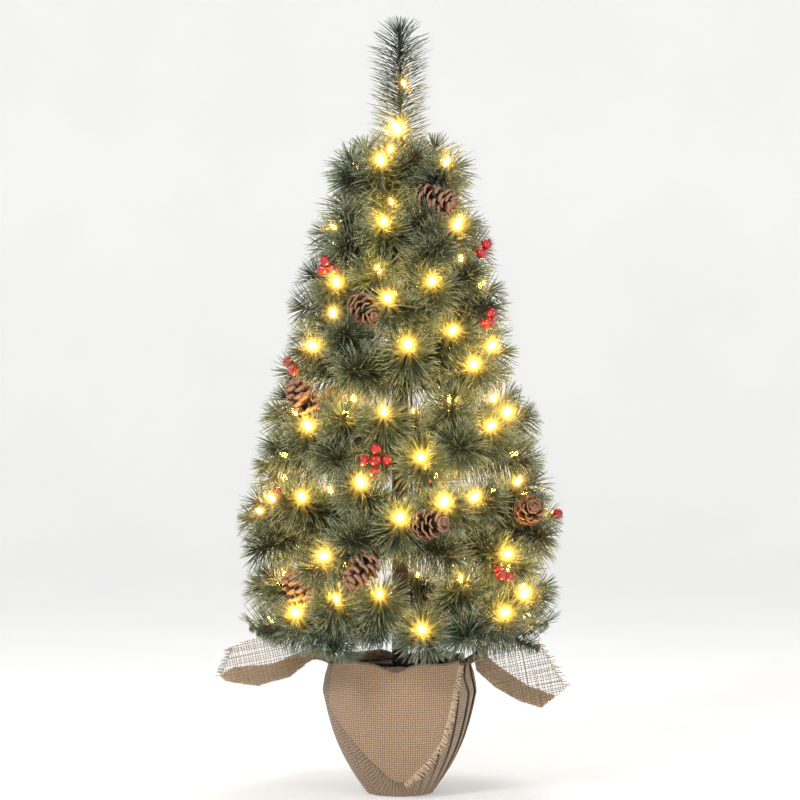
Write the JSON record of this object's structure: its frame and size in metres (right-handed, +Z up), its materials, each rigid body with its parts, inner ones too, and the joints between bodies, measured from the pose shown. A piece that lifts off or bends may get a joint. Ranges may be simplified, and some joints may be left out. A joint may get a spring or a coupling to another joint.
{
  "type": "artificial tabletop tree",
  "caption": "Pre-lit artificial tabletop pine tree with bendable brush branches, pine cones and berries, in a burlap-wrapped pot, for standing on a table",
  "frame": {"origin": "middle of the pot's underside, on the surface it stands on", "axes": "+Z up along the trunk, -Y towards the front, where one burlap corner hangs down; +X to the right"},
  "size_m": [0.414, 0.3725, 0.891],
  "materials": {
    "needle": "matte",
    "lamp": "gloss",
    "pine_cone": "matte",
    "berry": "gloss",
    "burlap": "matte",
    "pot": "matte",
    "ballast": "matte",
    "foam": "matte",
    "trunk": "matte",
    "tape": "matte",
    "lead": "satin",
    "case": "matte",
    "cell": "gloss",
    "contact": "satin",
    "board": "satin",
    "button": "gloss"
  },
  "bodies": {
    "base": {"ballast": "ballast", "batteries": "cell", "battery_box": "case", "branch_wraps": "tape", "burlap_flap_back": "burlap", "burlap_flap_front": "burlap", "burlap_flap_left": "burlap", "burlap_flap_right": "burlap", "burlap_wrap": "burlap", "circuit_board": "board", "contact_springs": "contact", "crown_berries": "berry", "crown_cones": "pine_cone", "crown_lights": "lamp", "crown_tier_1": "needle", "crown_tier_2": "needle", "crown_tier_3": "needle", "crown_tier_4": "needle", "foam_plug": "foam", "leader": "needle", "pot": "pot", "trunk": "trunk", "trunk_lead": "lead"},
    "lower_branch_1": {"lower_branch_1": "needle", "lower_cone_1": "pine_cone", "lower_lights_1": "lamp"},
    "lower_branch_2": {"lower_branch_2": "needle", "lower_lights_2": "lamp"},
    "lower_branch_3": {"lower_branch_3": "needle", "lower_cone_3": "pine_cone", "lower_lights_3": "lamp"},
    "lower_branch_4": {"lower_berries_4": "berry", "lower_branch_4": "needle", "lower_lights_4": "lamp"},
    "middle_branch_1": {"middle_berries_1": "berry", "middle_branch_1": "needle", "middle_cone_1": "pine_cone", "middle_lights_1": "lamp"},
    "middle_branch_2": {"middle_berries_2": "berry", "middle_branch_2": "needle", "middle_lights_2": "lamp"},
    "middle_branch_3": {"middle_berries_3": "berry", "middle_branch_3": "needle", "middle_lights_3": "lamp"},
    "middle_branch_4": {"middle_branch_4": "needle", "middle_cones_4": "pine_cone", "middle_lights_4": "lamp"},
    "upper_branch_1": {"upper_branch_1": "needle", "upper_lights_1": "lamp"},
    "upper_branch_2": {"upper_branch_2": "needle", "upper_cone_2": "pine_cone", "upper_lights_2": "lamp"},
    "upper_branch_3": {"upper_berries_3": "berry", "upper_branch_3": "needle", "upper_cone_3": "pine_cone", "upper_lights_3": "lamp"},
    "upper_branch_4": {"upper_branch_4": "needle", "upper_lights_4": "lamp"},
    "battery_cover": {"battery_cover": "case"},
    "power_button": {"power_button": "button"}
  },
  "joints": [
    {"name": "lower_branch_1_bend", "type": "hinge", "parent": "base", "child": "lower_branch_1", "pos_m": [0.01096, 0.01096, 0.198], "axis": [0.7071, -0.7071, 0], "range_deg": [0, 15]},
    {"name": "lower_branch_2_bend", "type": "hinge", "parent": "base", "child": "lower_branch_2", "pos_m": [-0.01096, 0.01096, 0.198], "axis": [0.7071, 0.7071, 0], "range_deg": [0, 15]},
    {"name": "lower_branch_3_bend", "type": "hinge", "parent": "base", "child": "lower_branch_3", "pos_m": [-0.01096, -0.01096, 0.198], "axis": [-0.7071, 0.7071, 0], "range_deg": [0, 15]},
    {"name": "lower_branch_4_bend", "type": "hinge", "parent": "base", "child": "lower_branch_4", "pos_m": [0.01096, -0.01096, 0.198], "axis": [-0.7071, -0.7071, 0], "range_deg": [0, 15]},
    {"name": "middle_branch_1_bend", "type": "hinge", "parent": "base", "child": "middle_branch_1", "pos_m": [0.0155, 0, 0.3], "axis": [0, -1, 0], "range_deg": [0, 15]},
    {"name": "middle_branch_2_bend", "type": "hinge", "parent": "base", "child": "middle_branch_2", "pos_m": [0, 0.0155, 0.3], "axis": [1, 0, 0], "range_deg": [0, 15]},
    {"name": "middle_branch_3_bend", "type": "hinge", "parent": "base", "child": "middle_branch_3", "pos_m": [-0.0155, 0, 0.3], "axis": [0, 1, 0], "range_deg": [0, 15]},
    {"name": "middle_branch_4_bend", "type": "hinge", "parent": "base", "child": "middle_branch_4", "pos_m": [0, -0.0155, 0.3], "axis": [-1, 0, 0], "range_deg": [0, 15]},
    {"name": "upper_branch_1_bend", "type": "hinge", "parent": "base", "child": "upper_branch_1", "pos_m": [0.01096, 0.01096, 0.394], "axis": [0.7071, -0.7071, 0], "range_deg": [0, 15]},
    {"name": "upper_branch_2_bend", "type": "hinge", "parent": "base", "child": "upper_branch_2", "pos_m": [-0.01096, 0.01096, 0.394], "axis": [0.7071, 0.7071, 0], "range_deg": [0, 15]},
    {"name": "upper_branch_3_bend", "type": "hinge", "parent": "base", "child": "upper_branch_3", "pos_m": [-0.01096, -0.01096, 0.394], "axis": [-0.7071, 0.7071, 0], "range_deg": [0, 15]},
    {"name": "upper_branch_4_bend", "type": "hinge", "parent": "base", "child": "upper_branch_4", "pos_m": [0.01096, -0.01096, 0.394], "axis": [-0.7071, -0.7071, 0], "range_deg": [0, 15]},
    {"name": "battery_cover_lift", "type": "slide", "parent": "base", "child": "battery_cover", "axis": [0, 0, 1], "range_m": [0, 0.03]},
    {"name": "power_button_press", "type": "slide", "parent": "base", "child": "power_button", "axis": [0, 0, -1], "range_m": [0, 0.0012], "stiffness_N_per_m": 400}
  ]
}
